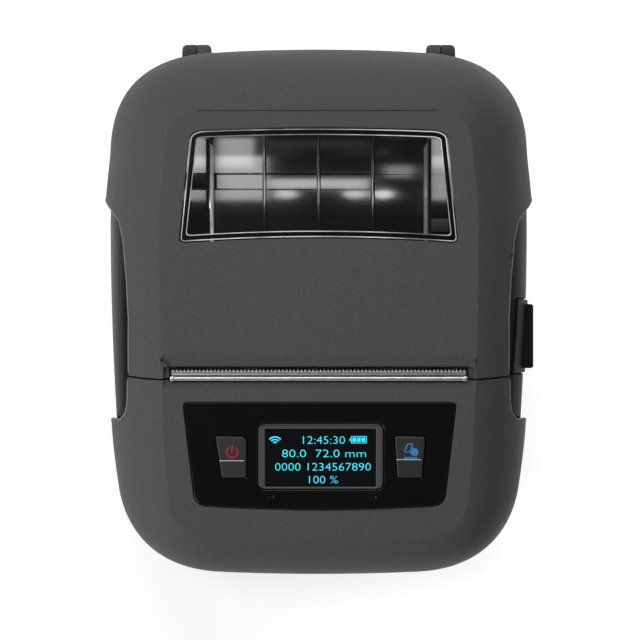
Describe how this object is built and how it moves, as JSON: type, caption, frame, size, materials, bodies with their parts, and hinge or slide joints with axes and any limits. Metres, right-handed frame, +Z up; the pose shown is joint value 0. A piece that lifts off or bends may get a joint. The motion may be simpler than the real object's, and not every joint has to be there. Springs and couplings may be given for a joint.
{
  "type": "mobile printer",
  "caption": "Handheld receipt printer with a hinged lid over a paper bin, viewing window, paper slot with tear bar, and a control panel with display and keys.",
  "frame": {"origin": "middle of the footprint, on the surface that the feet stand on", "axes": "+X to the right, +Y towards the lid's hinge, +Z up out of the lid"},
  "size_m": [0.1156, 0.1438, 0.0616],
  "materials": {
    "housing": "fine grained, satin",
    "dark_plastic": "satin",
    "gloss_black": "high gloss",
    "clear_pane": "polished",
    "key_cap": "satin",
    "display_grey": "semi gloss",
    "steel": "brushed",
    "rubber": "matt",
    "circuit": "solder mask",
    "ceramic": "glazed ceramic",
    "gear_white": "moulded",
    "brass": "satin",
    "lamp_lens": "translucent"
  },
  "bodies": {
    "housing": {"front_cover": "housing", "base_shell": "housing", "motor": "steel", "print_frame": "steel", "head_spring_left": "steel", "head_spring_right": "steel", "tear_bar": "steel", "guide_bar": "steel", "hinge_pin_left": "steel", "hinge_pin_right": "steel", "case_screw_1": "steel", "case_screw_2": "steel", "case_screw_3": "steel", "case_screw_4": "steel", "latch_spring": "steel", "data_socket": "steel", "idler_pin": "steel", "foot_1": "rubber", "foot_2": "rubber", "foot_3": "rubber", "foot_4": "rubber", "paper_sensor": "dark_plastic", "charge_socket": "dark_plastic", "battery_contacts": "brass", "control_panel": "gloss_black", "paper_bin": "gloss_black", "display_module": "display_grey", "power_light_pipe": "lamp_lens", "error_light_pipe": "lamp_lens", "keypad_board": "circuit", "main_board": "circuit"},
    "lid": {"lid_shell": "housing", "window_pane": "clear_pane", "platen_bracket": "steel", "platen_bush_left": "dark_plastic", "platen_bush_right": "dark_plastic", "lid_screw_left": "steel", "lid_screw_right": "steel"},
    "platen": {"platen_shaft": "steel", "platen_rubber": "rubber", "platen_gear": "gear_white"},
    "idler": {"idler_gear": "gear_white"},
    "feed_pinion": {"motor_pinion": "brass"},
    "print_head": {"head_heatsink": "steel", "head_substrate": "ceramic"},
    "release_button": {"latch_button": "dark_plastic"},
    "hooks": {"latch_bar": "steel"},
    "mode_button": {"mode_key": "key_cap"},
    "feed_button": {"feed_key": "key_cap"},
    "right_guide": {"media_guide_right": "dark_plastic", "guide_rack_right": "dark_plastic"},
    "left_guide": {"media_guide_left": "dark_plastic", "guide_rack_left": "dark_plastic"},
    "guide_gear": {"guide_pinion": "gear_white"},
    "battery": {"battery_pack": "dark_plastic"},
    "battery_catch": {"battery_latch": "dark_plastic"},
    "port_flap": {"port_cover": "rubber"}
  },
  "joints": [
    {"name": "lid_hinge", "type": "hinge", "parent": "housing", "child": "lid", "pos_m": [0, 0.0693, 0.0205], "axis": [-1, 0, 0], "range_deg": [0, 100]},
    {"name": "platen_spin", "type": "hinge", "parent": "lid", "child": "platen", "pos_m": [0, -0.0103, 0.044], "axis": [1, 0, 0], "continuous": true},
    {"name": "idler_spin", "type": "hinge", "parent": "housing", "child": "idler", "pos_m": [-0.045, -0.0133, 0.03383], "axis": [1, 0, 0], "continuous": true},
    {"name": "motor_spin", "type": "hinge", "parent": "housing", "child": "feed_pinion", "pos_m": [-0.045, -0.0205, 0.02827], "axis": [1, 0, 0], "continuous": true},
    {"name": "head_tilt", "type": "hinge", "parent": "housing", "child": "print_head", "pos_m": [0, -0.0183, 0.0383], "axis": [1, 0, 0], "range_deg": [0, 2.5], "stiffness_Nm_per_rad": 1.2, "springref_deg": -11.46, "deforming": ["head_spring_left", "head_spring_right"]},
    {"name": "release_press", "type": "slide", "parent": "housing", "child": "release_button", "axis": [-1, 0, 0], "range_m": [0, 0.0022], "stiffness_N_per_m": 700, "springref_m": -0.002, "deforming": ["latch_spring"]},
    {"name": "hook_rock", "type": "hinge", "parent": "housing", "child": "hooks", "pos_m": [0, -0.0015, 0.031], "axis": [-1, 0, 0], "range_deg": [0, 12]},
    {"name": "mode_press", "type": "slide", "parent": "housing", "child": "mode_button", "axis": [0, 0.1953, -0.9807], "range_m": [0, 0.0006], "stiffness_N_per_m": 900, "springref_m": -0.001},
    {"name": "feed_press", "type": "slide", "parent": "housing", "child": "feed_button", "axis": [0, 0.1953, -0.9807], "range_m": [0, 0.0006], "stiffness_N_per_m": 900, "springref_m": -0.001},
    {"name": "guide_width", "type": "slide", "parent": "housing", "child": "right_guide", "axis": [1, 0, 0], "range_m": [0, 0.011]},
    {"name": "left_guide_slide", "type": "slide", "parent": "housing", "child": "left_guide", "axis": [-1, 0, 0], "range_m": [0, 0.011]},
    {"name": "guide_gear_turn", "type": "hinge", "parent": "housing", "child": "guide_gear", "pos_m": [0, 0.0295, 0.006], "axis": [0, 0, 1], "range_deg": [0, 132]},
    {"name": "battery_slide", "type": "slide", "parent": "housing", "child": "battery", "axis": [0, 0, -1], "range_m": [0, 0.022]},
    {"name": "battery_catch_slide", "type": "slide", "parent": "housing", "child": "battery_catch", "axis": [0, 1, 0], "range_m": [0, 0.003], "stiffness_N_per_m": 300, "springref_m": -0.002},
    {"name": "port_flap_hinge", "type": "hinge", "parent": "housing", "child": "port_flap", "pos_m": [-0.0551, -0.0005, 0.0119], "axis": [0, -1, 0], "range_deg": [0, 90]}
  ],
  "couplings": [
    {"joint": "idler_spin", "follows": "platen_spin", "ratio": -0.75},
    {"joint": "motor_spin", "follows": "platen_spin", "ratio": 1.5},
    {"joint": "hook_rock", "follows": "release_press", "rad_per_m": 95},
    {"joint": "left_guide_slide", "follows": "guide_width", "ratio": 1},
    {"joint": "guide_gear_turn", "follows": "guide_width", "rad_per_m": 208.33}
  ]
}
